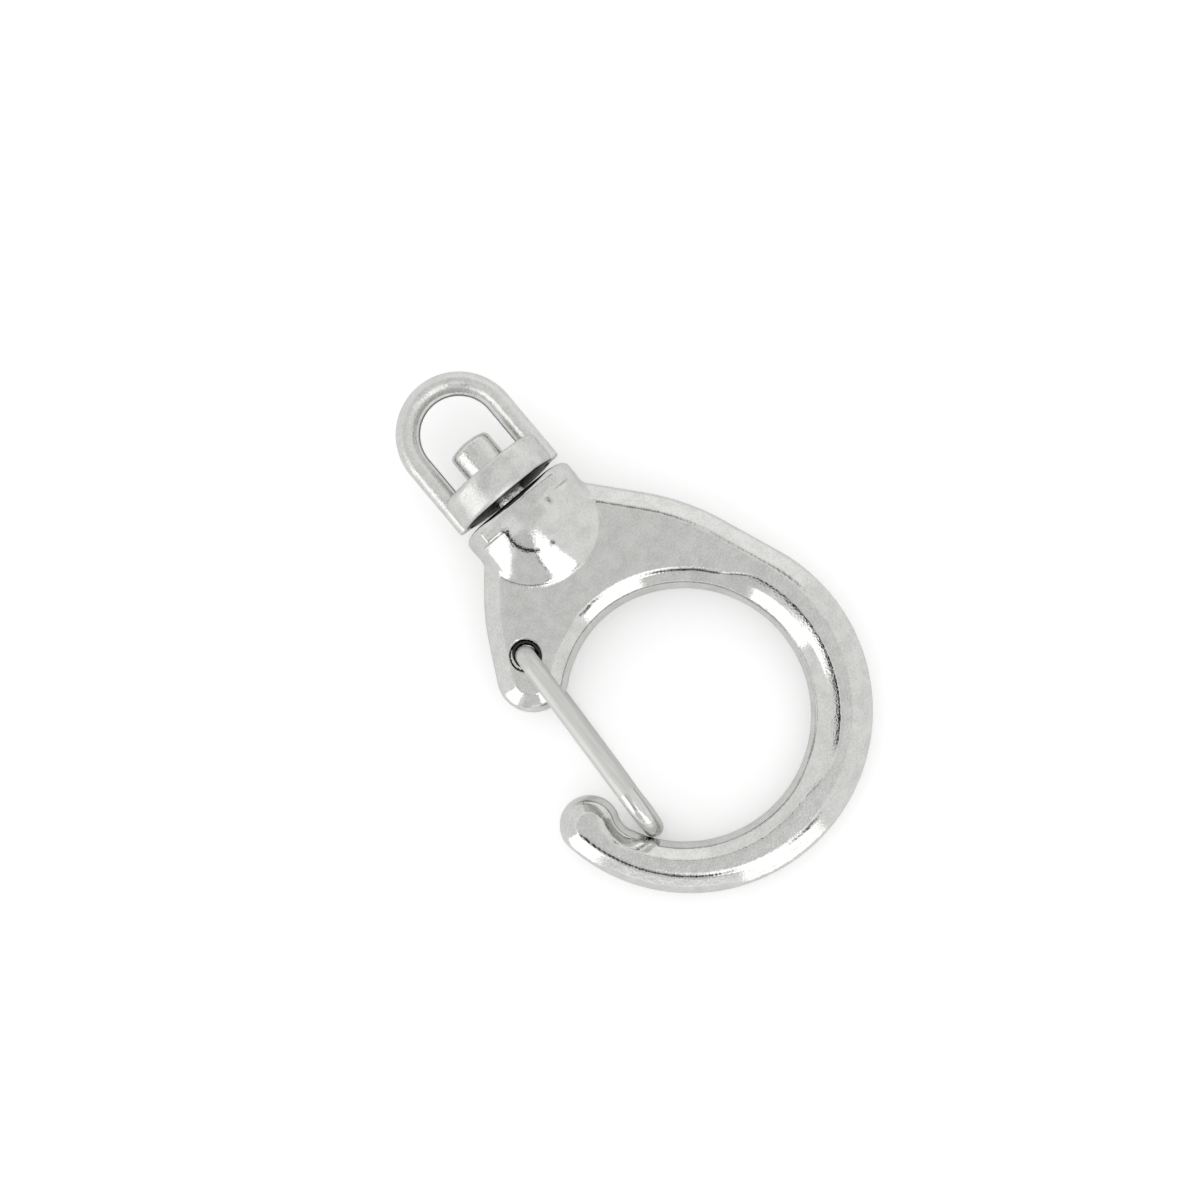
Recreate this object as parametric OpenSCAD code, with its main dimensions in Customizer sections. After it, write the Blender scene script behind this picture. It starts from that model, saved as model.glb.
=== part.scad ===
// Swivel snap hook for straps and cords: a die-cast hook whose ring is closed by a sprung
// wire gate, with a swivel eye held on the neck by a headed rivet.
// The hook lies flat. Its parting plane is z = 0, the swivel axis is the Y axis, and the
// origin is the centre of the ring's outer circle. All sizes are in millimetres.

/* [Ring] */
// Radius of the ring's round opening
opening_r = 10.45; // [9.5:0.05:11.5]
// Width of the ring's bar at the foot of the hook, seen from above
bar_w = 4.65; // [4.3:0.05:5.2]
// Distance from the outer circle's centre to the opening's, toward the gate
opening_shift = 0.6; // [0.4:0.05:0.8]
// Half of the casting's thickness, from the parting plane to the flat face
half_t = 2.15; // [1.9:0.05:2.4]

/* [Casting edges] */
// Half-height of the upright land along the parting line
land_z = 0.3; // [0.2:0.05:0.5]
// Width of the steep flank beside the land, seen from above
flank_w = 0.4; // [0.3:0.05:0.6]
// Height at which the steep flank turns into the bevel
flank_z = 1.25; // [1:0.05:1.5]
// Width of the flank and the bevel together, seen from above
bevel_w = 1.45; // [1.2:0.05:1.7]
// Distance from each crease at which its rounding starts
crease = 0.2; // [0.1:0.02:0.3]
// How much wider the inner bevel is along the ring's back
back_bevel_w = 0.9; // [0.6:0.05:1.1]
// How much lower the flank ends beside that wide bevel
back_bevel_drop = 0.4; // [0.2:0.05:0.6]
// Direction in which the wide bevel ends above, in degrees around the opening's centre
back_bevel_top = 30; // [25:1:35]
// Direction in which the wide bevel ends below, in degrees around the opening's centre
back_bevel_foot = -80; // [-90:1:-70]
// Arc over which the bevel widens at each end, in degrees
back_bevel_blend = 24; // [15:1:35]

/* [Nose and gate lobe] */
// How much wider the round nose is than the ring's bar beside it
nose_swell = 0.95; // [0.6:0.05:1.2]
// Direction of the nose's centre from the origin, in degrees
nose_angle = 189; // [186:0.5:192]
// Radius of the hollow between the nose and the ring's opening
nose_hollow_r = 1.8; // [1.4:0.1:2.4]
// Radius of the round lobe that carries the gate
lobe_r = 3; // [2.8:0.05:3.3]
// Direction of the lobe's centre from the opening's centre, in degrees
lobe_angle = 125.8; // [124:0.2:128]
// Distance of the lobe's centre from the opening's edge
lobe_reach = 2.48; // [2.2:0.02:2.6]
// How much smaller than the opening's radius the hollow beside the lobe is
lobe_hollow_step = 1.15; // [0.9:0.05:1.5]

/* [Shoulders and neck] */
// Direction in which the back shoulder leaves the ring, in degrees around the origin
back_angle = 21; // [18:1:24]
// Direction in which the front shoulder leaves the lobe, in degrees around its centre
front_angle = 152; // [148:1:156]
// Slope of both shoulders where they reach the neck, in degrees
neck_slope = 49.5; // [47:0.5:52]
// Radius of the bend along each shoulder
shoulder_r = 20; // [15:1:24]
// Radius of the neck's round sides
neck_r = 5.3; // [5:0.05:5.6]
// Radius across the neck's front and back, which are flatter than its sides
neck_face_r = 16; // [12:0.5:20]
// Height of the neck's front and back above the parting plane
neck_face_z = 3.98; // [3.6:0.02:4.2]
// Height of the neck's flatter part above the dome's centre, at its foot
neck_foot = 0.75; // [0.6:0.05:1.1]
// Height of the domes on both faces of the web, above the parting plane
dome_h = 4.23; // [4:0.01:4.6]
// Radius that the domes would have at the parting plane
dome_r = 6.7; // [6.4:0.05:7]
// Height of the web, from the opening's edge to the dome's centre
web_h = 9.75; // [9.3:0.05:10.3]
// Height of the neck, from the dome's centre to its flat top
neck_h = 2.4; // [2:0.1:3]
// Radius around the neck's top
neck_edge_r = 0.4; // [0.2:0.05:0.5]

/* [Wire gate] */
// Diameter of the gate's wire
wire_d = 1.66; // [1.5:0.02:1.8]
// Distance of the gate's hole from the lobe's centre, toward the web
pin_in = 0.68; // [0.5:0.02:0.8]
// Distance of the gate's hole from the lobe's centre, toward the neck
pin_up = 1.62; // [1.4:0.02:1.8]
// Slack of the wire's ends in their hole, across the diameter
pin_slack = 0.94; // [0.7:0.02:1.1]
// Chamfer around both ends of the gate's hole
gate_hole_chamfer = 0.15; // [0.1:0.05:0.2]
// Arc of the opening between the nose's hollow and the gate's bow, in degrees
bow_setback = 10; // [7:0.5:12]
// Gap between the closed gate's bow and the opening's edge
bow_gap = 0.03; // [0.02:0.01:0.1]
// Bend radius at the wire's ends, on its centre line
wire_bend_r = 1.25; // [1.1:0.05:1.4]
// Gap between each leg of the wire and the casting's face
leg_gap = 0.12; // [0.1:0.01:0.2]
// Distance of each wire end from the parting plane
wire_end_z = 0.3; // [0.2:0.05:0.6]

/* [Swivel eye] */
// Gap between the neck and the eye's base, with the eye against the rivet's head
neck_gap = 0.6; // [0.5:0.05:0.9]
// Radius of the eye's round base
base_r = 4.8; // [4.5:0.05:5]
// Height of the base
base_h = 2.85; // [2.6:0.05:3.2]
// Radius around both ends of the base
base_edge_r = 0.25; // [0.2:0.05:0.4]
// Diameter of the eye's round bar
bar_d = 2.04; // [1.8:0.02:2.2]
// Outer radius of the eye's arch
arch_r = 5.25; // [5.1:0.05:5.4]
// Height of the arch's centre above the base
arch_h = 3.76; // [3.4:0.02:4.2]

/* [Swivel rivet] */
// Diameter of the rivet's shank
shank_d = 2.5; // [2.3:0.05:2.7]
// Running clearance between the shank and the eye's bore, across the diameter
swivel_clearance = 0.2; // [0.04:0.02:0.2]
// Depth of the shank in the neck
shank_depth = 6.5; // [5:0.1:7]
// Diameter of the rivet's head
head_d = 3.8; // [3.4:0.05:4]
// Gap between the eye's base and the rivet's head
head_gap = 0.1; // [0.05:0.01:0.2]
// Height of the head's side
head_h = 2.4; // [2:0.05:2.7]
// Height of the crown on top of the head
crown_h = 0.35; // [0.2:0.05:0.5]

/* [Hidden] */
$fn = 96;

// Small overlap for cuts that run out of a face
cut = 0.5;
// Degrees of arc between two points of the casting's outline
arc_step = 5;

// Point at an angle on a circle
function on_circle(c, r, a) = c + r * [cos(a), sin(a)];

ring_r = opening_r + bar_w;
opening_c = [-opening_shift, 0];
nose_r = (bar_w - opening_shift + nose_swell) / 2;
nose_c = on_circle([0, 0], ring_r - nose_r, nose_angle);
lobe_c = on_circle(opening_c, opening_r + lobe_reach, lobe_angle);
lobe_hollow_r = opening_r - lobe_hollow_step;

// Heights along the swivel axis, each from the one below it
neck_y = opening_r + web_h;
neck_top = neck_y + neck_h;
base_bottom = neck_top + neck_gap;
base_top = base_bottom + base_h;
arch_y = base_top + arch_h;
head_bottom = base_top + head_gap;

// ---- The casting's outline: arcs joined by tangent straight runs ----

// Points of an arc, each as [point, direction into the metal]. Metal lies inside a round
// corner (side = -1) and outside a hollow (side = 1). An arc that starts where the one
// before it ends leaves its first point out (first = 1).
function arc(c, r, a0, a1, side, steps, first = 0) =
    [for (i = [first:steps])
        let (a = a0 + (a1 - a0) * i / steps)
        [on_circle(c, r, a), side * [cos(a), sin(a)]]];

// Number of steps for an arc of this many degrees
function steps_for(degrees) = ceil(abs(degrees) / arc_step);

// Centre at distance ra from a and rb from b, on the left of the line from a to b
function meet(a, ra, b, rb) =
    let (d = norm(b - a), u = (b - a) / d, along = (ra * ra - rb * rb + d * d) / (2 * d))
    a + along * u + sqrt(ra * ra - along * along) * [-u[1], u[0]];

// Direction from a to b, in degrees
function heading(a, b) = atan2(b[1] - a[1], b[0] - a[0]);

// Centre of a circle of radius r that touches two edges from inside. Each edge is given by
// one of its points and the direction that faces out of the metal.
function corner_centre(p, out_p, q, out_q, r) =
    let (n = [cos(out_p), sin(out_p)], m = [cos(out_q), sin(out_q)])
    let (hp = n * p - r, hq = m * q - r, det = n[0] * m[1] - n[1] * m[0])
    [(hp * m[1] - hq * n[1]) / det, (hq * n[0] - hp * m[0]) / det];

// Edges of the web: where each leaves its circle or the neck, and which way it faces
back_out = 90 - neck_slope;
front_out = 90 + neck_slope;
back_low = on_circle([0, 0], ring_r, back_angle);
front_low = on_circle(lobe_c, lobe_r, front_angle);
back_high = [neck_r, neck_y];
front_high = [-neck_r, neck_y];
back_c = corner_centre(back_low, back_angle, back_high, back_out, shoulder_r);
front_c = corner_centre(front_low, front_angle, front_high, front_out, shoulder_r);

// The web ends inside the neck in a wide arc that meets both upper edges
web_apex = neck_y + neck_r * tan(neck_slope);
web_top = neck_top - neck_edge_r;
web_top_r = (web_apex - web_top) / (1 / cos(neck_slope) - 1);
web_top_c = [0, web_top - web_top_r];

// Hollows beside the lobe and the nose, each touching the opening's circle
lobe_hollow_c = meet(lobe_c, lobe_r + lobe_hollow_r, opening_c, opening_r - lobe_hollow_r);
nose_hollow_c = meet(opening_c, opening_r - nose_hollow_r, nose_c, nose_r + nose_hollow_r);

// Wire gate: its ends turn in the lobe, and its bow rests inside the opening by the nose
wire_r = wire_d / 2;
leg_z = half_t + leg_gap + wire_r;
gate_pin = lobe_c + [pin_in, pin_up];
bow_c = on_circle(opening_c, opening_r - wire_r - bow_gap,
    heading(opening_c, nose_hollow_c) + bow_setback);
gate_len = norm(bow_c - gate_pin);

// Directions in which the arcs of the inner side touch each other
lobe_end = heading(lobe_c, lobe_hollow_c) + 360;
opening_start = heading(opening_c, lobe_hollow_c);
opening_end = heading(opening_c, nose_hollow_c);
nose_start = heading(nose_c, nose_hollow_c);

// Directions of the two points that part the inner side from the outer side
lobe_tip = 230;
nose_tip = 84;

// Outer side, from the lobe's tip over the web and around the back to the nose's tip
outer = concat(
    arc(lobe_c, lobe_r, lobe_tip, front_angle, -1, steps_for(lobe_tip - front_angle)),
    arc(front_c, shoulder_r, front_angle, front_out, -1, 3),
    arc(web_top_c, web_top_r, front_out, back_out, -1, 9),
    arc(back_c, shoulder_r, back_out, back_angle, -1, 4),
    arc([0, 0], ring_r, back_angle, nose_angle - 360, -1, 40),
    arc(nose_c, nose_r, nose_angle, nose_tip, -1, steps_for(nose_angle - nose_tip), 1));

// Inner side between the same two tips, with as many points: the ring's opening takes the
// points that its neighbours leave
inner_start = concat(
    arc(lobe_c, lobe_r, lobe_tip, lobe_end, -1, steps_for(lobe_end - lobe_tip)),
    arc(lobe_hollow_c, lobe_hollow_r, lobe_end - 180, opening_start, 1, 12, 1));
inner_end = concat(
    arc(nose_hollow_c, nose_hollow_r, opening_end + 360, nose_start + 180, 1, 8, 1),
    arc(nose_c, nose_r, nose_start, nose_tip, -1, steps_for(nose_tip - nose_start), 1));
opening_steps = len(outer) - len(inner_start) - len(inner_end);
inner = concat(
    inner_start,
    arc(opening_c, opening_r, opening_start, opening_end, 1, opening_steps, 1),
    inner_end);

// The whole outline, counter-clockwise: down the outer side is up the inner side
half_count = len(inner) - 1;
outline = concat(inner, [for (i = [half_count - 1:-1:1]) outer[i]]);
count = len(outline);

// Rises smoothly from 0 to 1 while x does
function smooth(x) = let (t = min(max(x, 0), 1)) t * t * (3 - 2 * t);

// How much of the wide bevel a point of the outline has: 0 on the outer side, and 1 on the
// inner side along the ring's back
function back_share(p) =
    let (from_c = p[0] - opening_c, a = atan2(from_c[1], from_c[0]))
    p[1] * from_c < 0 ? 0
        : smooth((back_bevel_top - a) / back_bevel_blend)
            * smooth((a - back_bevel_foot) / back_bevel_blend);

// The casting's edge in section, as [distance from the outline, height above z = 0]: from
// the land up the flank and the bevel to a point on the flat face
function edge_creases(share) =
    let (flank_end = flank_z - share * back_bevel_drop, crest = bevel_w + share * back_bevel_w)
    [[0, land_z], [flank_w, flank_end], [crest, half_t], [crest + crease, half_t]];

// Point at a distance from a on the way to b
function toward(a, b, distance) = a + distance * (b - a) / norm(b - a);

// The same section with each crease rounded off by a short slope
function edge_section(share) = let (c = edge_creases(share))
    concat([c[0]], [for (i = [1:len(c) - 2], j = [i - 1, i + 1]) toward(c[i], c[j], crease)]);

// The edge's section, run from the underside's flat face around to the top's
function levels(share) = let (section = edge_section(share))
    concat([for (i = [len(section) - 1:-1:0]) [section[i][0], -section[i][1]]], section);

// Ring, nose, lobe and web in one body: each point of the outline moved inward by levels
module plate() {
    shares = [for (p = outline) back_share(p)];
    sections = [for (share = shares) levels(share)];
    rows = len(sections[0]);
    points = [for (k = [0:rows - 1], i = [0:count - 1])
        let (q = outline[i][0] + sections[i][k][0] * outline[i][1])
        [q[0], q[1], sections[i][k][1]]];
    // Where the bevel widens, the walls are split into triangles
    walls = [for (k = [0:rows - 2], i = [0:count - 1])
        let (j = (i + 1) % count)
        let (a = k * count + i, b = k * count + j, c = b + count, d = a + count)
        each shares[i] == shares[j] ? [[a, b, c, d]] : [[a, b, c], [a, c, d]]];
    // A flat face joins each point of the inner side to its partner on the outer side
    top = (rows - 1) * count;
    lids = [for (base = [0, top], i = [0:half_count - 1])
        let (a = i, b = i + 1, c = count - i - 1, d = (count - i) % count)
        let (face = a == d ? [a, b, c] : (b == c ? [a, b, d] : [a, b, c, d]))
        [for (v = base == 0 ? face : [for (n = [len(face) - 1:-1:0]) face[n]]) base + v]];
    polyhedron(points, concat(walls, lids), convexity = 8);
}

// Turns a shape whose axis is Z so that its axis is the swivel axis
module along_swivel(y) {
    translate([0, y, 0]) rotate([-90, 0, 0]) children();
}

// Straight pin along the swivel axis, between two heights
module swivel_pin(r, y0, y1) {
    along_swivel(y0) cylinder(h = y1 - y0, r = r);
}

// Half of a disc's section, from its middle at height 0 to a rounded rim at height h
module rim_section(r, h, edge_r) {
    square([r - edge_r, h]);
    square([r, h - edge_r]);
    translate([r - edge_r, h - edge_r]) circle(r = edge_r);
}

// Low dome of height h on a disc of radius r, as half of its section
module crown_section(r, h) {
    sphere_r = (r * r + h * h) / (2 * h);
    intersection() {
        translate([0, h - sphere_r]) circle(r = sphere_r);
        square([r, h]);
    }
}

// Disc around an axis along Y, from height y0 to the neck's rounded top
module neck_disc(r, y0) {
    along_swivel(y0) rotate_extrude() rim_section(r, neck_top - y0, neck_edge_r);
}

// Neck with a flatter front and back than its sides, over shallow domes that bulge a little
// further than these
module neck() {
    intersection() {
        neck_disc(neck_r, neck_y - neck_r);
        union() {
            intersection_for (side = [-1, 1])
                translate([0, 0, side * (neck_face_r - neck_face_z)])
                    neck_disc(neck_face_r, neck_y + neck_foot);
            domes();
        }
    }
}

// Both domes, which end inside the neck below its rounded top
module domes() {
    intersection() {
        translate([0, neck_y, 0])
            for (side = [0, 1])
                mirror([0, 0, side]) rotate_extrude() crown_section(dome_r, dome_h);
        swivel_pin(neck_face_r, neck_y - neck_face_r, neck_top - neck_edge_r);
    }
}

// Hole for the gate's two ends, through the lobe and chamfered at both faces
module gate_hole() {
    hole_r = wire_r + pin_slack / 2;
    translate(gate_pin) {
        cylinder(h = 2 * (half_t + cut), r = hole_r, center = true);
        for (side = [0, 1])
            mirror([0, 0, side])
                translate([0, 0, half_t - gate_hole_chamfer])
                    cylinder(h = 2 * gate_hole_chamfer, r1 = hole_r,
                        r2 = hole_r + 2 * gate_hole_chamfer);
    }
}

module hook_body() {
    color("Gainsboro")
    difference() {
        union() {
            plate();
            neck();
        }
        gate_hole();
        swivel_pin(shank_d / 2, neck_top - shank_depth, neck_top + cut);
    }
}

// ---- Wire gate: two legs and a bow, in a frame whose X axis runs along the legs ----

// Bend in the wire, upright in the frame's XZ plane, between two directions from its centre
module wire_bend(x, z, r, a0, a1) {
    translate([x, 0, z]) rotate([90, 0, 0]) rotate([0, 0, a0])
        rotate_extrude(angle = a1 - a0) translate([r, 0]) circle(r = wire_r);
}

module wire_leg() {
    bow_start = gate_len - leg_z;
    translate([0, 0, wire_end_z]) cylinder(h = leg_z - wire_bend_r - wire_end_z, r = wire_r);
    wire_bend(wire_bend_r, leg_z - wire_bend_r, wire_bend_r, 90, 180);
    translate([wire_bend_r, 0, leg_z]) rotate([0, 90, 0])
        cylinder(h = bow_start - wire_bend_r, r = wire_r);
}

module wire_gate() {
    color("Silver")
    translate(gate_pin) rotate([0, 0, heading(gate_pin, bow_c)]) {
        wire_leg();
        mirror([0, 0, 1]) wire_leg();
        wire_bend(gate_len - leg_z, 0, leg_z, -90, 90);
    }
}

// ---- Swivel eye: round base with an arched bar, and the rivet it turns on ----

module eye_base() {
    middle = base_h / 2;
    along_swivel(base_bottom + middle) rotate_extrude()
        for (side = [0, 1])
            mirror([0, side]) rim_section(base_r, middle, base_edge_r);
}

module eye_bar() {
    bar_r = bar_d / 2;
    path_r = arch_r - bar_r;
    translate([0, arch_y, 0])
        rotate_extrude(angle = 180) translate([path_r, 0]) circle(r = bar_r);
    for (side = [-1, 1])
        translate([side * path_r, 0, 0]) swivel_pin(bar_r, base_bottom, arch_y);
}

module swivel_eye() {
    color("Gainsboro")
    difference() {
        union() {
            eye_base();
            eye_bar();
        }
        swivel_pin((shank_d + swivel_clearance) / 2, base_bottom - cut, base_top + cut);
    }
}

module swivel_rivet() {
    head_r = head_d / 2;
    color("LightGray") {
        swivel_pin(shank_d / 2, neck_top - shank_depth, head_bottom);
        along_swivel(head_bottom) rotate_extrude() {
            square([head_r, head_h]);
            translate([0, head_h]) crown_section(head_r, crown_h);
        }
    }
}

hook_body();
wire_gate();
swivel_eye();
swivel_rivet();
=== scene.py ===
"""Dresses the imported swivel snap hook: camera, studio, nickel materials and smooth meshes.

Shapes are worked out in millimetres in the CAD's frame, from the same sizes as the CAD
source, and become metres when their mesh is made. The small form that only the dressing
has, such as worn crests, has its own sizes below the CAD's.
"""

import math

import bpy
import numpy as np
from mathutils import Matrix, Vector


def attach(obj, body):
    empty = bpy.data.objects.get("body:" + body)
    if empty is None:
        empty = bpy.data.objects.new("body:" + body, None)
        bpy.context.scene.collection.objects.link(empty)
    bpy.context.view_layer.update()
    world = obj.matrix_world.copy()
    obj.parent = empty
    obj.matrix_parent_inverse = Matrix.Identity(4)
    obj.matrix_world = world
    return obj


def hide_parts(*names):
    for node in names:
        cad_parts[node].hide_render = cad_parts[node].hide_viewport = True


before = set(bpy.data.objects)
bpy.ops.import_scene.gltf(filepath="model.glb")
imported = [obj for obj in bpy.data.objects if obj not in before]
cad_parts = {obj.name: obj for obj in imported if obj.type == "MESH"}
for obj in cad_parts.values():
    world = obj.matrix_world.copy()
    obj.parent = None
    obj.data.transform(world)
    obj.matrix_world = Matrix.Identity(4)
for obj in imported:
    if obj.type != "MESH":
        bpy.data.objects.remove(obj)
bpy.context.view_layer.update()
MM = 0.001


# ---- Camera ----------------------------------------------------------------------------

CAMERA_AT = Vector((0.15, 3.0, 250.0))      # mm
CAMERA_TO = Vector((0.15, 11.75, 0.0))      # mm, the middle of the picture
IMAGE_RIGHT = Vector((0.766, -0.643, 0.0))
FRAME_WIDTH = 99.3                          # mm of the hook's plane across the picture


def add_camera():
    data = bpy.data.cameras.new("camera")
    camera = bpy.data.objects.new("camera", data)
    bpy.context.scene.collection.objects.link(camera)
    back = (CAMERA_AT - CAMERA_TO).normalized()
    right = (IMAGE_RIGHT - IMAGE_RIGHT.dot(back) * back).normalized()
    up = back.cross(right)
    camera.matrix_world = Matrix.Translation(CAMERA_AT * MM) @ Matrix(
        (right, up, back)).transposed().to_4x4()
    data.sensor_width = 36.0
    data.lens = data.sensor_width * (CAMERA_AT - CAMERA_TO).length / FRAME_WIDTH
    data.clip_start = 0.01
    data.clip_end = 10.0
    bpy.context.scene.camera = camera


add_camera()
bpy.context.scene.view_settings.view_transform = "Standard"


# ---- Node helpers ----------------------------------------------------------------------

def node(tree, kind, inputs=None, **settings):
    """Adds a node. inputs maps a socket to a value or to another node's output."""
    made = tree.nodes.new(kind)
    for name, value in settings.items():
        setattr(made, name, value)
    for name, value in (inputs or {}).items():
        if isinstance(value, bpy.types.NodeSocket):
            tree.links.new(value, made.inputs[name])
        else:
            made.inputs[name].default_value = value
    return made


def math_node(tree, operation, *values, clamp=False):
    return node(tree, "ShaderNodeMath", dict(enumerate(values)), operation=operation,
                use_clamp=clamp).outputs[0]


# ---- Studio: a white tent with softboxes, grey panels and the dark rim of its roof ------

def sky_direction(azimuth, polar):
    """Unit vector from an azimuth around +Z and an angle down from +Z, in degrees."""
    a, p = math.radians(azimuth), math.radians(polar)
    return Vector((math.sin(p) * math.cos(a), math.sin(p) * math.sin(a), math.cos(p)))


def panel_mask(tree, direction, corners, softness):
    """1 inside the convex panel whose corners, as (azimuth, polar), run counter-clockwise
    as seen from the hook, and 0 outside it."""
    mask = None
    for i, corner in enumerate(corners):
        edge = sky_direction(*corner).cross(sky_direction(*corners[(i + 1) % len(corners)]))
        inside = node(tree, "ShaderNodeVectorMath", {0: direction, 1: edge.normalized()},
                      operation="DOT_PRODUCT").outputs["Value"]
        side = math_node(tree, "MULTIPLY_ADD", inside, 0.5 / softness, 0.5, clamp=True)
        mask = side if mask is None else math_node(tree, "MULTIPLY", mask, side)
    return mask


WALL_LEVEL = 0.84
SOFTBOX_LEVEL = 1.5
DIFFUSE_LEVEL = 1.0
CRISP = 0.012       # softness of a softbox's edge
# Panels of the tent as the hook sees them: level, softness of the edge, and corners as
# (azimuth, angle down from +Z). A later panel hides an earlier one.
PANELS = [
    # Grey overhead, which the flat faces mirror, and grey beside the left softbox
    (0.70, 0.05, [(110, 38), (198, 12), (240, 9), (300, 6), (10, 22), (60, 38)]),
    (0.68, 0.03, [(176, 36), (208, 80), (212, 100), (253, 100), (240, 50), (228, 30), (200, 33)]),
    (0.64, 0.02, [(176, 8), (174, 37), (200, 38), (234, 36), (232, 26), (215, 14)]),
    # Low strips in front and a pale wall on the right
    (1.2, 0.02, [(205, 86), (205, 101), (258, 101), (258, 86)]),
    (SOFTBOX_LEVEL, CRISP, [(248, 77), (248, 101), (258, 101), (258, 77)]),
    (0.96, 0.05, [(8, 62), (8, 100), (60, 100), (60, 62)]),
    # Softboxes on the left, overhead and in front, with a dark gap beside the last one
    (SOFTBOX_LEVEL, CRISP, [(154, 43), (175, 90), (197, 90), (205, 76), (196, 52), (172, 38)]),
    (SOFTBOX_LEVEL, CRISP, [(230, 13), (236, 31), (272, 36), (262, 12)]),
    (0.02, 0.006, [(227, 33), (246, 68), (252, 68), (233, 33)]),
    (SOFTBOX_LEVEL, CRISP, [(230, 33), (257, 101), (280, 101), (272, 32)]),
]
# Dark rim of the roof: its height as the Z of a direction, half its width, how sharply its
# sides and its ends start, and its stretches as (azimuth of the middle, reach to both
# sides, darkness)
RIM_HEIGHT, RIM_WIDTH = 0.805, 0.03
RIM_SIDE, RIM_END = 4.0, 12.0
RIMS = [(187.0, 60.0, 0.98), (274.0, 8.0, 0.85), (64.0, 37.0, 0.7), (15.0, 9.0, 0.6)]


def build_world():
    world = bpy.data.worlds.new("tent")
    bpy.context.scene.world = world
    world.use_nodes = True
    tree = world.node_tree
    tree.nodes.clear()
    direction = node(tree, "ShaderNodeTexCoord").outputs["Generated"]
    split = node(tree, "ShaderNodeSeparateXYZ", {0: direction})
    height = split.outputs["Z"]

    level = WALL_LEVEL
    for value, softness, corners in PANELS:
        mask = panel_mask(tree, direction, corners, softness)
        level = node(tree, "ShaderNodeMix", {"Factor": mask, "A": level, "B": value},
                     data_type="FLOAT").outputs["Result"]

    away = math_node(tree, "ABSOLUTE", math_node(tree, "SUBTRACT", height, RIM_HEIGHT))
    band = math_node(tree, "MULTIPLY_ADD", away, -RIM_SIDE / RIM_WIDTH, RIM_SIDE, clamp=True)
    azimuth = math_node(tree, "FLOORED_MODULO", math_node(
        tree, "ARCTAN2", split.outputs["Y"], split.outputs["X"]), 2 * math.pi)
    for middle, reach, darkness in RIMS:
        turned = math_node(tree, "ABSOLUTE", math_node(
            tree, "SUBTRACT", azimuth, math.radians(middle)))
        near = math_node(
            tree, "MULTIPLY_ADD", turned, -RIM_END, RIM_END * math.radians(reach), clamp=True)
        dark = math_node(tree, "MULTIPLY", math_node(tree, "MULTIPLY", band, near), darkness)
        level = math_node(tree, "MULTIPLY", level, math_node(tree, "SUBTRACT", 1.0, dark))

    # The floor gets even light, and the camera sees a plain white background
    path = node(tree, "ShaderNodeLightPath")
    level = node(tree, "ShaderNodeMix", {
        "Factor": path.outputs["Is Diffuse Ray"], "A": level, "B": DIFFUSE_LEVEL},
        data_type="FLOAT").outputs["Result"]
    strength = node(tree, "ShaderNodeMix", {
        "Factor": path.outputs["Is Camera Ray"], "A": level, "B": 1.0},
        data_type="FLOAT").outputs["Result"]
    background = node(tree, "ShaderNodeBackground", {"Color": (1, 1, 1, 1), "Strength": strength})
    node(tree, "ShaderNodeOutputWorld", {"Surface": background.outputs[0]})


build_world()


# ---- Materials -------------------------------------------------------------------------

FINE_SCALE, BROAD_SCALE = 5500.0, 900.0         # of the plate's two noises, per metre
FINE_DEPTH, BROAD_DEPTH = 0.03 * MM, 0.1 * MM   # how deep each noise dents the plate
BROAD_SHARE = 0.5                               # strength of the broad dents
TONE_LOW, TONE_HIGH, TONE_GAIN = 0.35, 0.6, 1.03
GLOSS_LOW, GLOSS_HIGH, GLOSS_SWING = 0.3, 0.7, 0.25
SLOPE_NORMAL, FLAT_NORMAL = 0.965, 0.995        # Z of the normal on slopes and flat faces
ZONE_EDGE, DULL_EDGE = 0.04 * MM, 0.2 * MM


def zone_mask(tree, place, centre, along, radius, low, high):
    """1 inside a round zone around an axis along Y or Z, in millimetres, and 0 outside."""
    away = node(tree, "ShaderNodeVectorMath", {
        0: place, 1: [c * MM for c in centre]}, operation="SUBTRACT").outputs[0]
    flat = (1, 0, 1) if along == "Y" else (1, 1, 0)
    across = node(tree, "ShaderNodeVectorMath", {0: away, 1: flat}, operation="MULTIPLY").outputs[0]
    rho = node(tree, "ShaderNodeVectorMath", {0: across}, operation="LENGTH").outputs["Value"]
    height = node(tree, "ShaderNodeSeparateXYZ", {0: away}).outputs[along]
    per_edge = 1 / ZONE_EDGE
    mask = math_node(tree, "MULTIPLY_ADD", rho, -per_edge, radius * MM * per_edge, clamp=True)
    above = math_node(tree, "MULTIPLY_ADD", height, per_edge, -low * MM * per_edge, clamp=True)
    below = math_node(tree, "MULTIPLY_ADD", height, -per_edge, high * MM * per_edge, clamp=True)
    return math_node(tree, "MULTIPLY", mask, math_node(tree, "MULTIPLY", above, below))


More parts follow.
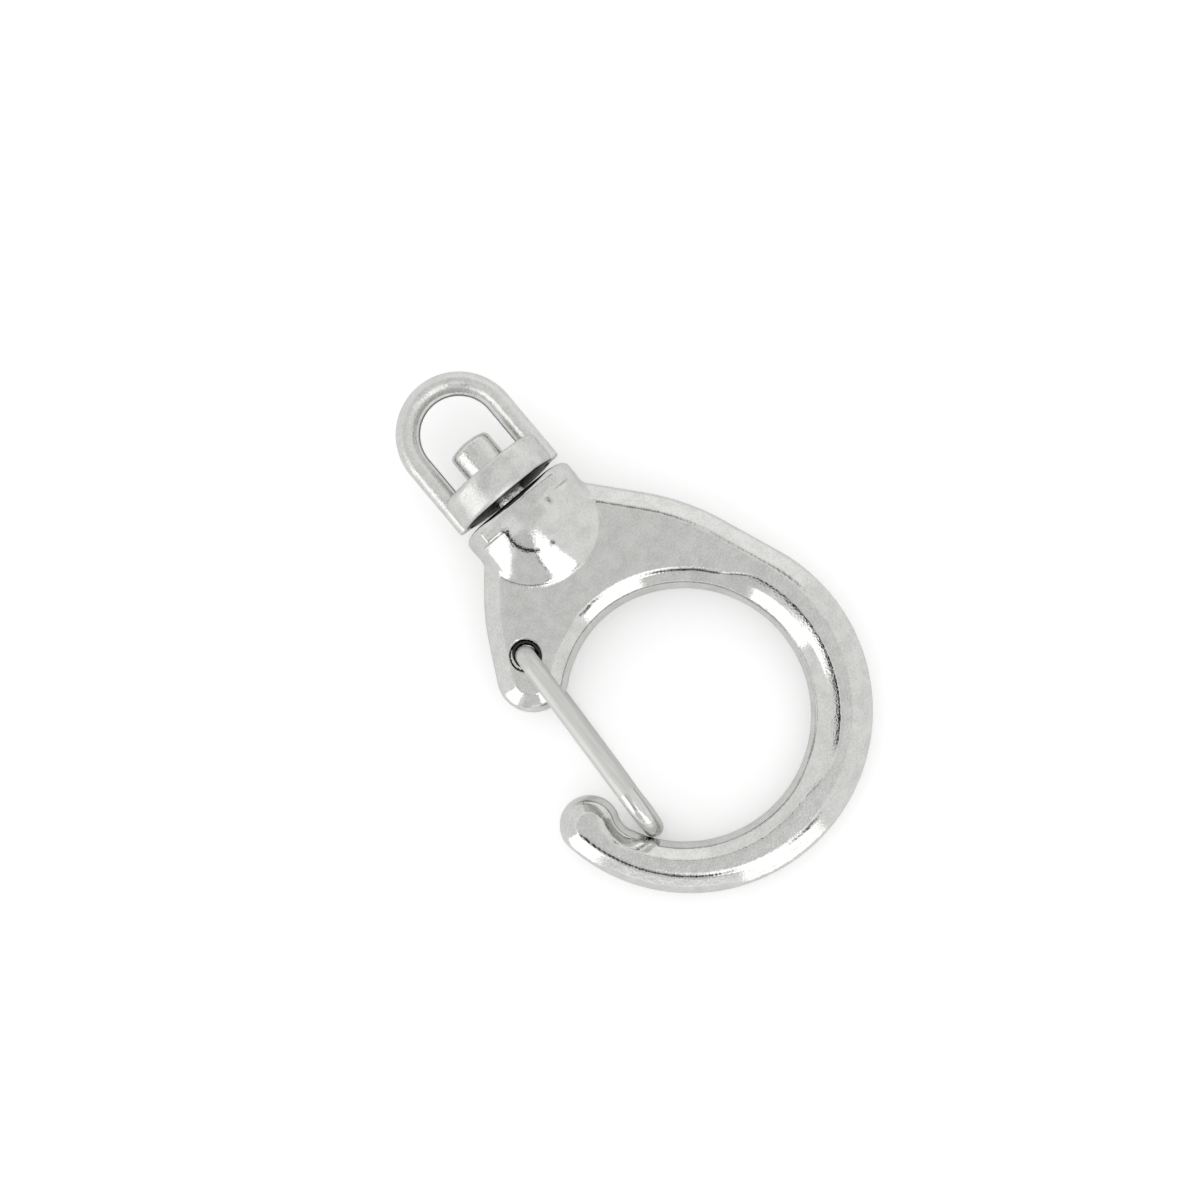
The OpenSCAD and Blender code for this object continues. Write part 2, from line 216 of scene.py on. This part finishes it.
def nickel(name, color, roughness, grain, stretch=1.0, mottle=0.12, slope_grain=1.0,
           dull=None, painted_shade_zones=(), shade=0.05):
    """Nickel plate with a fine grain. stretch below 1 draws the grain out along the hook,
    mottle is how far the tone varies, slope_grain is the share of the grain on slopes,
    dull is a roughness and the height along the hook above which it applies, and each
    zone in shaded is painted to the flat dark level shade, as painted shade for deep
    gaps and dark edges."""
    material = bpy.data.materials.new(name)
    material.use_nodes = True
    tree = material.node_tree
    tree.nodes.clear()
    where = node(tree, "ShaderNodeTexCoord")
    place = where.outputs["Object"]
    drawn = node(tree, "ShaderNodeVectorMath", {0: place, 1: (1, stretch, 1)},
                 operation="MULTIPLY").outputs[0]
    fine = node(tree, "ShaderNodeTexNoise", {"Vector": drawn, "Scale": FINE_SCALE, "Detail": 2.0})
    broad = node(tree, "ShaderNodeTexNoise", {"Vector": drawn, "Scale": BROAD_SCALE, "Detail": 3.0})
    speckle = math_node(tree, "MULTIPLY_ADD", fine.outputs["Fac"], 0.5,
                        math_node(tree, "MULTIPLY", broad.outputs["Fac"], 0.5))
    tone = node(tree, "ShaderNodeValToRGB", {"Fac": speckle})
    tone.color_ramp.elements[0].position = TONE_LOW
    tone.color_ramp.elements[0].color = [(1 - mottle) * c for c in color] + [1]
    tone.color_ramp.elements[1].position = TONE_HIGH
    tone.color_ramp.elements[1].color = [TONE_GAIN * c for c in color] + [1]
    surface_color = tone.outputs["Color"]
    # Painted shade: each zone's colour is mixed towards the flat dark level shade
    for zone in painted_shade_zones:
        surface_color = node(tree, "ShaderNodeMix", {
            "Factor": zone_mask(tree, place, *zone), 6: surface_color,
            7: (shade, shade, shade, 1)}, data_type="RGBA").outputs[2]
    gloss = node(tree, "ShaderNodeMapRange", {
        "Value": broad.outputs["Fac"], "From Min": GLOSS_LOW, "From Max": GLOSS_HIGH,
        "To Min": roughness * (1 - GLOSS_SWING), "To Max": roughness * (1 + GLOSS_SWING)})
    roughly = gloss.outputs["Result"]
    if dull:
        height = node(tree, "ShaderNodeSeparateXYZ", {0: place}).outputs["Y"]
        dull_roughness, dull_from = dull
        above = math_node(tree, "MULTIPLY_ADD", height, 1 / DULL_EDGE,
                          -dull_from * MM / DULL_EDGE, clamp=True)
        roughly = node(tree, "ShaderNodeMix", {
            "Factor": above, "A": roughly, "B": dull_roughness},
            data_type="FLOAT").outputs["Result"]
    facing = math_node(tree, "ABSOLUTE", node(
        tree, "ShaderNodeSeparateXYZ", {0: where.outputs["Normal"]}).outputs["Z"])
    share = node(tree, "ShaderNodeMapRange", {
        "Value": facing, "From Min": SLOPE_NORMAL, "From Max": FLAT_NORMAL,
        "To Min": slope_grain, "To Max": 1.0}).outputs["Result"]
    bump = node(tree, "ShaderNodeBump", {
        "Height": fine.outputs["Fac"], "Distance": FINE_DEPTH,
        "Strength": math_node(tree, "MULTIPLY", share, grain)})
    wave = node(tree, "ShaderNodeBump", {
        "Height": broad.outputs["Fac"], "Distance": BROAD_DEPTH,
        "Strength": math_node(tree, "MULTIPLY", share, BROAD_SHARE * grain),
        "Normal": bump.outputs["Normal"]})
    shader = node(tree, "ShaderNodeBsdfPrincipled", {
        "Base Color": surface_color, "Metallic": 1.0,
        "Roughness": roughly, "Normal": wave.outputs["Normal"]})
    node(tree, "ShaderNodeOutputMaterial", {"Surface": shader.outputs["BSDF"]})
    return material


# ---- Meshing a solid from its distance function ----------------------------------------

def round_max(a, b, k):
    """The larger of a and b, with the crease between them rounded over the width k."""
    h = np.maximum(k - np.abs(a - b), 0.0) / k
    return np.maximum(a, b) + h * h * k / 4


def round_min(a, b, k):
    """The smaller of a and b, with the crease between them rounded over the width k."""
    return -round_max(-a, -b, k)


def gradient(solid, p):
    """How fast the distance grows along each axis at the points p."""
    step = 1e-4
    out = np.empty_like(p)
    for axis in range(3):
        shift = np.zeros(3)
        shift[axis] = step
        out[:, axis] = (solid(*(p + shift).T) - solid(*(p - shift).T)) / (2 * step)
    return out


def surface(solid, low, high, step):
    """Quads on the surface solid(x, y, z) = 0, one vertex for each grid cell it crosses."""
    ticks = [np.arange(a, b + step, step) for a, b in zip(low, high)]
    f = solid(*np.meshgrid(*ticks, indexing="ij", sparse=True))
    inside = f < 0
    total = np.zeros(tuple(n - 1 for n in f.shape) + (3,))
    hits = np.zeros(tuple(n - 1 for n in f.shape))
    cells = np.full(hits.shape, -1)
    edges = []
    for axis in range(3):
        a = [slice(None)] * 3
        b = [slice(None)] * 3
        a[axis], b[axis] = slice(0, -1), slice(1, None)
        change = inside[tuple(a)] != inside[tuple(b)]
        i = np.argwhere(change)
        fa, fb = f[tuple(a)][change], f[tuple(b)][change]
        point = i.astype(float)
        point[:, axis] += fa / (fa - fb)
        others = [n for n in range(3) if n != axis]
        around = []
        for du, dv in ((0, 0), (-1, 0), (-1, -1), (0, -1)):
            c = i.copy()
            c[:, others[0]] += du
            c[:, others[1]] += dv
            around.append(c)
            np.add.at(total, tuple(c.T), point)
            np.add.at(hits, tuple(c.T), 1)
        flip = inside[tuple(a)][change] != (axis == 1)
        edges.append((around, flip))
    active = hits > 0
    cells[active] = np.arange(active.sum())
    p = total[active] / hits[active][:, None] * step + np.array([t[0] for t in ticks])
    quads = []
    for around, flip in edges:
        q = np.stack([cells[tuple(c.T)] for c in around], axis=1)
        q[flip] = q[flip][:, ::-1]
        quads.append(q[:, ::-1])
    # Each point is drawn onto the surface, which sharpens the creases
    for _ in range(4):
        g = gradient(solid, p)
        p = p - g * (solid(*p.T) / np.maximum((g * g).sum(1), 0.05))[:, None]
    return p, np.concatenate(quads)


def add_solid(name, solid, low, high, step, material, body, replaced):
    """Adds the surface of a solid, found on a grid between two corners, as one piece."""
    points, quads = surface(solid, low, high, step)
    mesh = bpy.data.meshes.new(name)
    mesh.from_pydata((points * MM).tolist(), [], quads.tolist())
    mesh.polygons.foreach_set("use_smooth", np.ones(len(quads), bool))
    normals = gradient(solid, points)
    normals /= np.linalg.norm(normals, axis=1)[:, None]
    mesh.normals_split_custom_set_from_vertices(normals.tolist())
    mesh.materials.append(material)
    piece = bpy.data.objects.new(name, mesh)
    bpy.context.scene.collection.objects.link(piece)
    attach(piece, body)
    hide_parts(replaced)


# ---- Sizes, in millimetres and degrees -------------------------------------------------

# As in the CAD source: ring and plate, edge section, nose, lobe, web, neck and domes
OPENING_R, BAR_W, OPENING_SHIFT, HALF_T = 10.45, 4.65, 0.6, 2.15
LAND_Z, FLANK_W, FLANK_Z, BEVEL_W = 0.3, 0.4, 1.25, 1.45
BACK_BEVEL_W, BACK_BEVEL_FOOT, BACK_BEVEL_BLEND = 0.9, -80.0, 24.0
NOSE_SWELL, NOSE_ANGLE, NOSE_HOLLOW_R = 0.95, 189.0, 1.8
LOBE_R, LOBE_ANGLE, LOBE_REACH, LOBE_HOLLOW_STEP = 3.0, 125.8, 2.48, 1.15
BACK_ANGLE, FRONT_ANGLE, NECK_SLOPE, SHOULDER_R = 21.0, 152.0, 49.5, 20.0
NECK_R, WEB_H, NECK_H, NECK_EDGE_R, NECK_START = 5.3, 9.75, 2.4, 0.4, 0.75
DOME_H, DOME_R = 4.23, 6.7
# As in the CAD source: gate, eye and rivet
WIRE_D, PIN_IN, PIN_UP, PIN_SLACK = 1.66, 0.68, 1.62, 0.94
BOW_SETBACK, BOW_GAP, WIRE_BEND_R, LEG_GAP, WIRE_END_Z = 10.0, 0.03, 1.25, 0.12, 0.3
NECK_GAP, BASE_R, BASE_H, BASE_EDGE_R = 0.6, 4.8, 2.85, 0.25
BAR_D, ARCH_R, ARCH_H = 2.04, 5.25, 3.76
SHANK_D, SWIVEL_CLEARANCE, SHANK_DEPTH = 2.5, 0.2, 6.5
HEAD_D, HEAD_GAP, HEAD_H, CROWN_H = 3.8, 0.1, 2.4, 0.35

# Only in the dressing: a flatter face on the neck than the CAD's
NECK_FACE_R, NECK_FACE_Z = 20.0, 4.02
# The outer flank is narrower by this, except around the nose's tip and behind the nose:
# azimuths where each stretch starts and ends, and over how many degrees it fades
THIN_FLANK = 0.28
TIP_START, TIP_END, TIP_BLEND = 172.0, 190.0, 6.0
NOSE_START, NOSE_START_BLEND, NOSE_END, NOSE_END_BLEND = 199.0, 5.0, 249.0, 6.0
# Second, flatter facet above the inner bevel on the ring's back
FACET_DROP, FACET_TOP, FACET_BLEND, FACET_START = 0.372, 40.0, 20.0, 0.15
# Strip worn along the crests: its width, and its tilt on the inner and the outer side
WORN_W, INNER_TILT, OUTER_TILT = 0.42, 19.6, 16.6
# Hole for the gate: wide down to this height, and close around the wire below it
HOLE_DEPTH, HOLE_FIT = 0.9, 0.08
BORE_FIT = 0.02
# Thin ledge along the parting plane inside the eye's arch
LEDGE_W, LEDGE_H = 0.26, 0.28
# Widths over which creases are rounded
LAND_ROUND, BEVEL_ROUND, BACK_BEVEL_ROUND, FACET_ROUND, WORN_ROUND = 0.12, 0.15, 0.04, 0.03, 0.02
FACE_ROUND, FOOT_ROUND, DOME_SIDE_ROUND, DOME_TOP_ROUND, DOME_ROUND = 0.05, 0.25, 0.4, 0.1, 0.12
NECK_ROUND, HOLE_ROUND, BORE_ROUND = 0.3, 0.15, 0.1
WIRE_END_ROUND, BASE_BORE_ROUND, LEDGE_ROUND, ARCH_FOOT_ROUND, HEAD_ROUND = 0.15, 0.2, 0.15, 0.2, 0.35


# ---- The casting -----------------------------------------------------------------------

def unit(angle):
    return np.array([math.cos(math.radians(angle)), math.sin(math.radians(angle))])


def heading(a, b):
    """Direction from a to b, in degrees."""
    return math.degrees(math.atan2(b[1] - a[1], b[0] - a[0]))


def meet(a, ra, b, rb):
    """Point at distance ra from a and rb from b, on the left of the line from a to b."""
    d = np.linalg.norm(b - a)
    u = (b - a) / d
    along = (ra * ra - rb * rb + d * d) / (2 * d)
    return a + along * u + math.sqrt(ra * ra - along * along) * np.array([-u[1], u[0]])


def corner_centre(p, out_p, q, out_q, r):
    """Centre of a circle of radius r that touches two edges from inside."""
    n, m = unit(out_p), unit(out_q)
    return np.linalg.solve(np.array([n, m]), np.array([n @ p - r, m @ q - r]))


RING_R = OPENING_R + BAR_W
OPENING_C = np.array([-OPENING_SHIFT, 0.0])
NOSE_R = (BAR_W - OPENING_SHIFT + NOSE_SWELL) / 2
NOSE_C = (RING_R - NOSE_R) * unit(NOSE_ANGLE)
LOBE_C = OPENING_C + (OPENING_R + LOBE_REACH) * unit(LOBE_ANGLE)
LOBE_HOLLOW_R = OPENING_R - LOBE_HOLLOW_STEP
NECK_Y = OPENING_R + WEB_H
NECK_TOP = NECK_Y + NECK_H
LOBE_HOLLOW_C = meet(LOBE_C, LOBE_R + LOBE_HOLLOW_R, OPENING_C, OPENING_R - LOBE_HOLLOW_R)
NOSE_HOLLOW_C = meet(OPENING_C, OPENING_R - NOSE_HOLLOW_R, NOSE_C, NOSE_R + NOSE_HOLLOW_R)
BACK_OUT, FRONT_OUT = 90 - NECK_SLOPE, 90 + NECK_SLOPE
BACK_C = corner_centre(RING_R * unit(BACK_ANGLE), BACK_ANGLE,
                       np.array([NECK_R, NECK_Y]), BACK_OUT, SHOULDER_R)
FRONT_C = corner_centre(LOBE_C + LOBE_R * unit(FRONT_ANGLE), FRONT_ANGLE,
                        np.array([-NECK_R, NECK_Y]), FRONT_OUT, SHOULDER_R)
WEB_APEX = NECK_Y + NECK_R * math.tan(math.radians(NECK_SLOPE))
WEB_TOP_R = (WEB_APEX - NECK_TOP + NECK_EDGE_R) / (1 / math.cos(math.radians(NECK_SLOPE)) - 1)
WEB_TOP_C = np.array([0.0, NECK_TOP - NECK_EDGE_R - WEB_TOP_R])
GATE_PIN = LOBE_C + np.array([PIN_IN, PIN_UP])

# The outline, counter-clockwise: centre, radius, first and last direction, and whether the
# metal is inside (1) or outside (-1) the circle
ARCS = [
    (np.zeros(2), RING_R, NOSE_ANGLE - 360, BACK_ANGLE, 1),
    (BACK_C, SHOULDER_R, BACK_ANGLE, BACK_OUT, 1),
    (WEB_TOP_C, WEB_TOP_R, BACK_OUT, FRONT_OUT, 1),
    (FRONT_C, SHOULDER_R, FRONT_OUT, FRONT_ANGLE, 1),
    (LOBE_C, LOBE_R, FRONT_ANGLE, heading(LOBE_C, LOBE_HOLLOW_C) + 360, 1),
    (LOBE_HOLLOW_C, LOBE_HOLLOW_R, heading(OPENING_C, LOBE_HOLLOW_C),
     heading(LOBE_HOLLOW_C, LOBE_C), -1),
    (OPENING_C, OPENING_R, heading(OPENING_C, NOSE_HOLLOW_C),
     heading(OPENING_C, LOBE_HOLLOW_C), -1),
    (NOSE_HOLLOW_C, NOSE_HOLLOW_R, heading(NOSE_HOLLOW_C, NOSE_C),
     heading(OPENING_C, NOSE_HOLLOW_C) + 360, -1),
    (NOSE_C, NOSE_R, heading(NOSE_C, NOSE_HOLLOW_C), NOSE_ANGLE, 1),
]
# Straight runs between two convex arcs, as the pair of their ends with the outward direction
RUNS = [
    (RING_R * unit(BACK_ANGLE), BACK_C + SHOULDER_R * unit(BACK_ANGLE), BACK_ANGLE),
    (BACK_C + SHOULDER_R * unit(BACK_OUT), WEB_TOP_C + WEB_TOP_R * unit(BACK_OUT), BACK_OUT),
    (WEB_TOP_C + WEB_TOP_R * unit(FRONT_OUT), FRONT_C + SHOULDER_R * unit(FRONT_OUT), FRONT_OUT),
    (FRONT_C + SHOULDER_R * unit(FRONT_ANGLE), LOBE_C + LOBE_R * unit(FRONT_ANGLE), FRONT_ANGLE),
]


def inset(x, y):
    """Distance inside the casting's outline, below 0 outside it."""
    best = np.full(np.shape(x), 1e3)
    for c, r, a0, a1, side in ARCS:
        dx, dy = x - c[0], y - c[1]
        d = side * (r - np.hypot(dx, dy))
        turn = np.mod(np.degrees(np.arctan2(dy, dx)) - a0 + 1e-6, 360.0)
        use = (turn <= a1 - a0 + 2e-6) & (np.abs(d) < np.abs(best))
        best = np.where(use, d, best)
    for p, q, out in RUNS:
        run = q - p
        length = np.linalg.norm(run)
        if length < 1e-6:
            continue
        dx, dy = x - p[0], y - p[1]
        along = (dx * run[0] + dy * run[1]) / length
        n = unit(out)
        d = -(dx * n[0] + dy * n[1])
        use = (along > -1e-6) & (along < length + 1e-6) & (np.abs(d) < np.abs(best))
        best = np.where(use, d, best)
    return best


def slope(d, z, d0, z0, d1, z1):
    """Distance outside the straight line through two points of the edge's section."""
    length = np.hypot(d1 - d0, z1 - z0)
    return ((z - z0) * (d1 - d0) - (d - d0) * (z1 - z0)) / length


def smooth(x):
    """Rises smoothly from 0 to 1 while x does."""
    t = np.clip(x, 0, 1)
    return t * t * (3 - 2 * t)


def is_inner(x, y):
    """Whether the ring's opening is nearer than its outer side."""
    return np.hypot(x - OPENING_C[0], y) - OPENING_R < RING_R - np.hypot(x, y)


def back_share(x, y):
    """1 where the ring's inner bevel is at its widest, 0 where it is a plain one."""
    a = np.degrees(np.arctan2(y, x - OPENING_C[0]))
    return is_inner(x, y) * smooth((FACET_TOP - a) / FACET_BLEND) * smooth(
        (a - BACK_BEVEL_FOOT) / BACK_BEVEL_BLEND)


def thin_share(x, y, inner):
    """1 where the outer flank is narrow, 0 behind the nose, at its tip and on the inner side."""
    a = np.mod(np.degrees(np.arctan2(y, x)), 360)
    behind_nose = smooth((a - NOSE_START) / NOSE_START_BLEND) * smooth(
        (NOSE_END - a) / NOSE_END_BLEND)
    at_tip = (a > TIP_START) * smooth((TIP_END - a) / TIP_BLEND)
    return ~inner * (1 - behind_nose) * (1 - at_tip)


def worn_width(x, y, inner, faceted):
    """Width of the strip worn into the crest. It fades out at the nose, and is narrower
    along the facet and at the foot of the plain inner bevel."""
    width = WORN_W * (1 - smooth(y + 2.5) * smooth(-2 - x)) * (1 - 0.15 * faceted)
    return width * np.where(inner, 1 - 0.35 * smooth((-3 - y) / 3) * (1 - faceted), 1)


def plate(x, y, h):
    """Ring, nose, lobe and web: a flat face inside a worn crest, bevel, flank and land."""
    d = inset(x, y)
    inner = is_inner(x, y)
    share = back_share(x, y)
    thin = THIN_FLANK * thin_share(x, y, inner)
    rise = (HALF_T - FLANK_Z) / (BEVEL_W - FLANK_W)
    drop = FACET_DROP * share
    flank_w, flank_z = FLANK_W - thin, FLANK_Z - thin * rise - drop
    body = round_max(-d, slope(d, h, 0, LAND_Z, flank_w, flank_z), LAND_ROUND)
    bevel_round = BEVEL_ROUND + (BACK_BEVEL_ROUND - BEVEL_ROUND) * share
    body = round_max(body, slope(d, h, flank_w, flank_z, BEVEL_W, HALF_T - drop), bevel_round)

    crest = BEVEL_W + BACK_BEVEL_W * share
    steep, flat = math.atan(rise), math.atan(FACET_DROP / BACK_BEVEL_W)
    facet = (h - HALF_T) * math.cos(flat) - (d - crest) * math.sin(flat)
    body = round_max(body, np.where(share > 0, facet, -1.0), FACET_ROUND)

    # The worn strip lies between the flat face and the slope below the crest
    faceted = smooth(share / FACET_START)
    below = steep + (flat - steep) * faceted
    tilt = np.radians(np.where(inner, INNER_TILT, OUTER_TILT))
    depth = worn_width(x, y, inner, faceted) / (1 / np.tan(tilt) + 1 / np.tan(below - tilt))
    strip = (h - HALF_T) * np.cos(tilt) - (d - crest) * np.sin(tilt) + depth
    body = round_max(body, strip, WORN_ROUND)
    return round_max(body, h - HALF_T, FACET_ROUND)


def neck(x, y, z, h):
    """Neck with a flatter front and back than its sides, over a shallow dome."""
    side = np.hypot(x, z) - NECK_R
    top = y - NECK_TOP
    face = np.hypot(x, h + NECK_FACE_R - NECK_FACE_Z) - NECK_FACE_R
    column = round_max(round_max(side, face, FACE_ROUND), top, 2 * NECK_EDGE_R)
    column = round_max(column, NECK_Y + NECK_START - y, FOOT_ROUND)
    sphere_r = (DOME_R ** 2 + DOME_H ** 2) / (2 * DOME_H)
    dome = np.sqrt(x * x + (y - NECK_Y) ** 2 + (h + sphere_r - DOME_H) ** 2) - sphere_r
    dome = round_max(dome, side, DOME_SIDE_ROUND)
    dome = round_max(dome, top + NECK_EDGE_R, DOME_TOP_ROUND)
    return round_min(column, dome, DOME_ROUND)


HOLE_R = (WIRE_D + PIN_SLACK) / 2


def hook_body(x, y, z):
    h = np.abs(z)
    body = round_min(plate(x, y, h), neck(x, y, z, h), NECK_ROUND)
    rho = np.hypot(x - GATE_PIN[0], y - GATE_PIN[1])
    body = round_max(body, round_min(HOLE_R - rho, h - HOLE_DEPTH, 0.05), HOLE_ROUND)
    body = round_max(body, WIRE_D / 2 + HOLE_FIT - rho, 0.05)
    bore = np.maximum(np.hypot(x, z) - SHANK_D / 2 - BORE_FIT,
                      NECK_TOP - SHANK_DEPTH - BORE_FIT - y)
    return round_max(body, -bore, BORE_ROUND)


# ---- Wire gate, swivel eye and rivet ---------------------------------------------------

BOW_C = OPENING_C + (OPENING_R - WIRE_D / 2 - BOW_GAP) * unit(
    heading(OPENING_C, NOSE_HOLLOW_C) + BOW_SETBACK)
GATE_LEN = np.linalg.norm(BOW_C - GATE_PIN)
LEG_Z = HALF_T + LEG_GAP + WIRE_D / 2
BASE_BOTTOM = NECK_TOP + NECK_GAP
BASE_TOP = BASE_BOTTOM + BASE_H
ARCH_Y = BASE_TOP + ARCH_H
HEAD_BOTTOM = BASE_TOP + HEAD_GAP


def wire_gate(x, y, z):
    """Bent wire, from its distance in the gate's own plane and across it."""
    t = (BOW_C - GATE_PIN) / GATE_LEN
    u = (x - GATE_PIN[0]) * t[0] + (y - GATE_PIN[1]) * t[1]
    v = -(x - GATE_PIN[0]) * t[1] + (y - GATE_PIN[1]) * t[0]
    h = np.abs(z)
    bow_start = GATE_LEN - LEG_Z
    bend_z = LEG_Z - WIRE_BEND_R
    # Distance in the plane from the centre line of the end, the bend, the leg and the bow
    end = np.hypot(u, np.maximum(WIRE_END_Z + WIRE_D / 2 - h, 0))
    bend = np.abs(np.hypot(u - WIRE_BEND_R, h - bend_z) - WIRE_BEND_R)
    leg = np.abs(h - LEG_Z)
    bow = np.abs(np.hypot(u - bow_start, h) - LEG_Z)
    plane = np.where(u > bow_start, bow, np.where(
        u > WIRE_BEND_R, leg, np.where(h > bend_z, bend, end)))
    # Between the legs, the end can be nearer than the leg
    beside_end = (u > WIRE_BEND_R) & (u < bow_start) & (h < 1.2)
    plane = np.where(beside_end, np.minimum(plane, end), plane)
    tube = np.hypot(plane, v) - WIRE_D / 2
    return np.where(u < 2, round_max(tube, WIRE_END_Z - h, WIRE_END_ROUND), tube)


def eye_base(x, y, z):
    """Round base of the eye, with its bore."""
    rho = np.hypot(x, z)
    middle = (BASE_BOTTOM + BASE_TOP) / 2
    base = round_max(rho - BASE_R, np.abs(y - middle) - BASE_H / 2, 2 * BASE_EDGE_R)
    return round_max(base, (SHANK_D + SWIVEL_CLEARANCE) / 2 - rho, BASE_BORE_ROUND)


def eye_arch(x, y, z):
    """The bar: its round part, and a thin ledge along the parting plane inside the arch."""
    bar_r = BAR_D / 2
    s = np.where(y > ARCH_Y, np.hypot(x, y - ARCH_Y), np.abs(x)) - (ARCH_R - bar_r)
    bar = np.hypot(s - LEDGE_W / 2, z * (1 - LEDGE_W / 2 / bar_r)) - (bar_r - LEDGE_W / 2)
    ledge = round_max(np.abs(s + bar_r / 2) - bar_r / 2, np.abs(z) - LEDGE_H, LEDGE_ROUND)
    bar = round_min(bar, ledge, 0.08)
    return round_max(bar, BASE_BOTTOM - y, ARCH_FOOT_ROUND)


def swivel_rivet(x, y, z):
    """Straight shank under a head with a low crown."""
    rho = np.hypot(x, z)
    shank_ends = np.maximum(NECK_TOP - SHANK_DEPTH - y, y - HEAD_BOTTOM - 0.2)
    shank = np.maximum(rho - SHANK_D / 2, shank_ends)
    head_r = HEAD_D / 2
    top = HEAD_BOTTOM + HEAD_H + CROWN_H
    sphere_r = (head_r ** 2 + CROWN_H ** 2) / (2 * CROWN_H)
    crown = np.hypot(rho, y - (top - sphere_r)) - sphere_r
    head = round_max(np.maximum(rho - head_r, HEAD_BOTTOM - y), crown, HEAD_ROUND)
    return np.minimum(shank, head)


# ---- Materials and pieces --------------------------------------------------------------

# Zones of painted shade: in the gate's hole and on the wire in it, in the gap between the
# neck and the eye's base, and a painted dark reflection along the arch's inner edge. Each
# is a point on the axis, the axis, the radius, and heights from that point
SHADE_R = HOLE_R + 0.05
HOLE_SHADE = ((GATE_PIN[0] + 0.3, GATE_PIN[1] + 0.1, 0), "Z", SHADE_R, 0.3 - HALF_T, HALF_T - 0.3)
WIRE_SHADE = ((GATE_PIN[0], GATE_PIN[1], 0), "Z", SHADE_R, 0.2 - HALF_T, HALF_T - 0.2)
NECK_SHADE = ((0, NECK_TOP, 0), "Y", NECK_R, -0.02, 1)
BASE_SHADE = ((0, BASE_BOTTOM, 0), "Y", NECK_R, -1, 0.08)
ARCH_EDGE_R = ARCH_R - BAR_D + 0.13
ARCH_SHADES = [((0, ARCH_Y, 0), "Z", ARCH_EDGE_R, -1.1, 1.1),
               ((0, ARCH_Y, 0), "Y", ARCH_EDGE_R, -6.6, 0)]

# Nickel tones; the casting, base, arch and wire carry painted shade in the zones above
CAST_NICKEL, DRAWN_NICKEL = (0.77, 0.77, 0.75), (0.76, 0.76, 0.74)
CASTING = nickel("nickel_casting", CAST_NICKEL, 0.07, 0.44, mottle=0.15, slope_grain=0.42,
                 painted_shade_zones=[HOLE_SHADE, NECK_SHADE])
BASE = nickel("nickel_base", CAST_NICKEL, 0.33, 1.0, mottle=0.2, painted_shade_zones=[BASE_SHADE])
ARCH = nickel("nickel_arch", CAST_NICKEL, 0.28, 1.0, shade=0.25, painted_shade_zones=ARCH_SHADES)
RIVET = nickel("nickel_rivet", DRAWN_NICKEL, 0.2, 1.0)
WIRE = nickel("nickel_wire", DRAWN_NICKEL, 0.12, 0.8, stretch=0.05, dull=(0.55, -1.9),
              painted_shade_zones=[WIRE_SHADE])

# Each piece: name, solid, two corners and step of its grid, material, body and node
add_solid("casting", hook_body, (-15.4, -15.4, -4.6), (15.4, 22.9, 4.6), 0.15, CASTING,
          "hook", "hook_body")
add_solid("eye_base", eye_base, (-5.0, 23.0, -5.0), (5.0, 26.3, 5.0), 0.12, BASE,
          "eye", "swivel_eye")
add_solid("eye_arch", eye_arch, (-5.5, 23.0, -1.3), (5.5, 35.3, 1.3), 0.1, ARCH,
          "eye", "swivel_eye")
add_solid("rivet", swivel_rivet, (-2.1, 15.9, -2.1), (2.1, 29.2, 2.1), 0.1, RIVET,
          "hook", "swivel_rivet")
add_solid("gate", wire_gate, (-10.0, -6.4, -4.2), (-6.4, 13.2, 4.2), 0.09, WIRE,
          "gate", "wire_gate")


# ---- Floor -----------------------------------------------------------------------------

FLOOR_COLOR, FLOOR_GLOW = 0.84, 0.3
FLOOR_REACH, FLOOR_GAP = 600.0, 0.02        # mm


def add_floor():
    """A white floor that touches the dome and the ring's foot. Only the camera sees its glow."""
    material = bpy.data.materials.new("floor")
    material.use_nodes = True
    tree = material.node_tree
    tree.nodes.clear()
    diffuse = node(tree, "ShaderNodeBsdfDiffuse", {
        "Color": (FLOOR_COLOR, FLOOR_COLOR, FLOOR_COLOR, 1)})
    seen = node(tree, "ShaderNodeLightPath").outputs["Is Camera Ray"]
    glow = node(tree, "ShaderNodeEmission", {
        "Color": (1, 1, 1, 1), "Strength": math_node(tree, "MULTIPLY", seen, FLOOR_GLOW)})
    both = node(tree, "ShaderNodeAddShader", {0: diffuse.outputs[0], 1: glow.outputs[0]})
    node(tree, "ShaderNodeOutputMaterial", {"Surface": both.outputs[0]})
    mesh = bpy.data.meshes.new("floor")
    low_dome = Vector((0, NECK_Y, -DOME_H - FLOOR_GAP))
    low_ring = Vector((0, -RING_R + BEVEL_W, -HALF_T - FLOOR_GAP))
    along = (low_dome - low_ring).normalized()
    across = Vector((1, 0, 0))
    centre = (low_dome + low_ring) / 2
    corners = [centre + FLOOR_REACH * (a * across + b * along)
               for a, b in ((-1, -1), (1, -1), (1, 1), (-1, 1))]
    mesh.from_pydata([c * MM for c in corners], [], [(0, 1, 2, 3)])
    mesh.materials.append(material)
    floor = bpy.data.objects.new("floor", mesh)
    bpy.context.scene.collection.objects.link(floor)


add_floor()
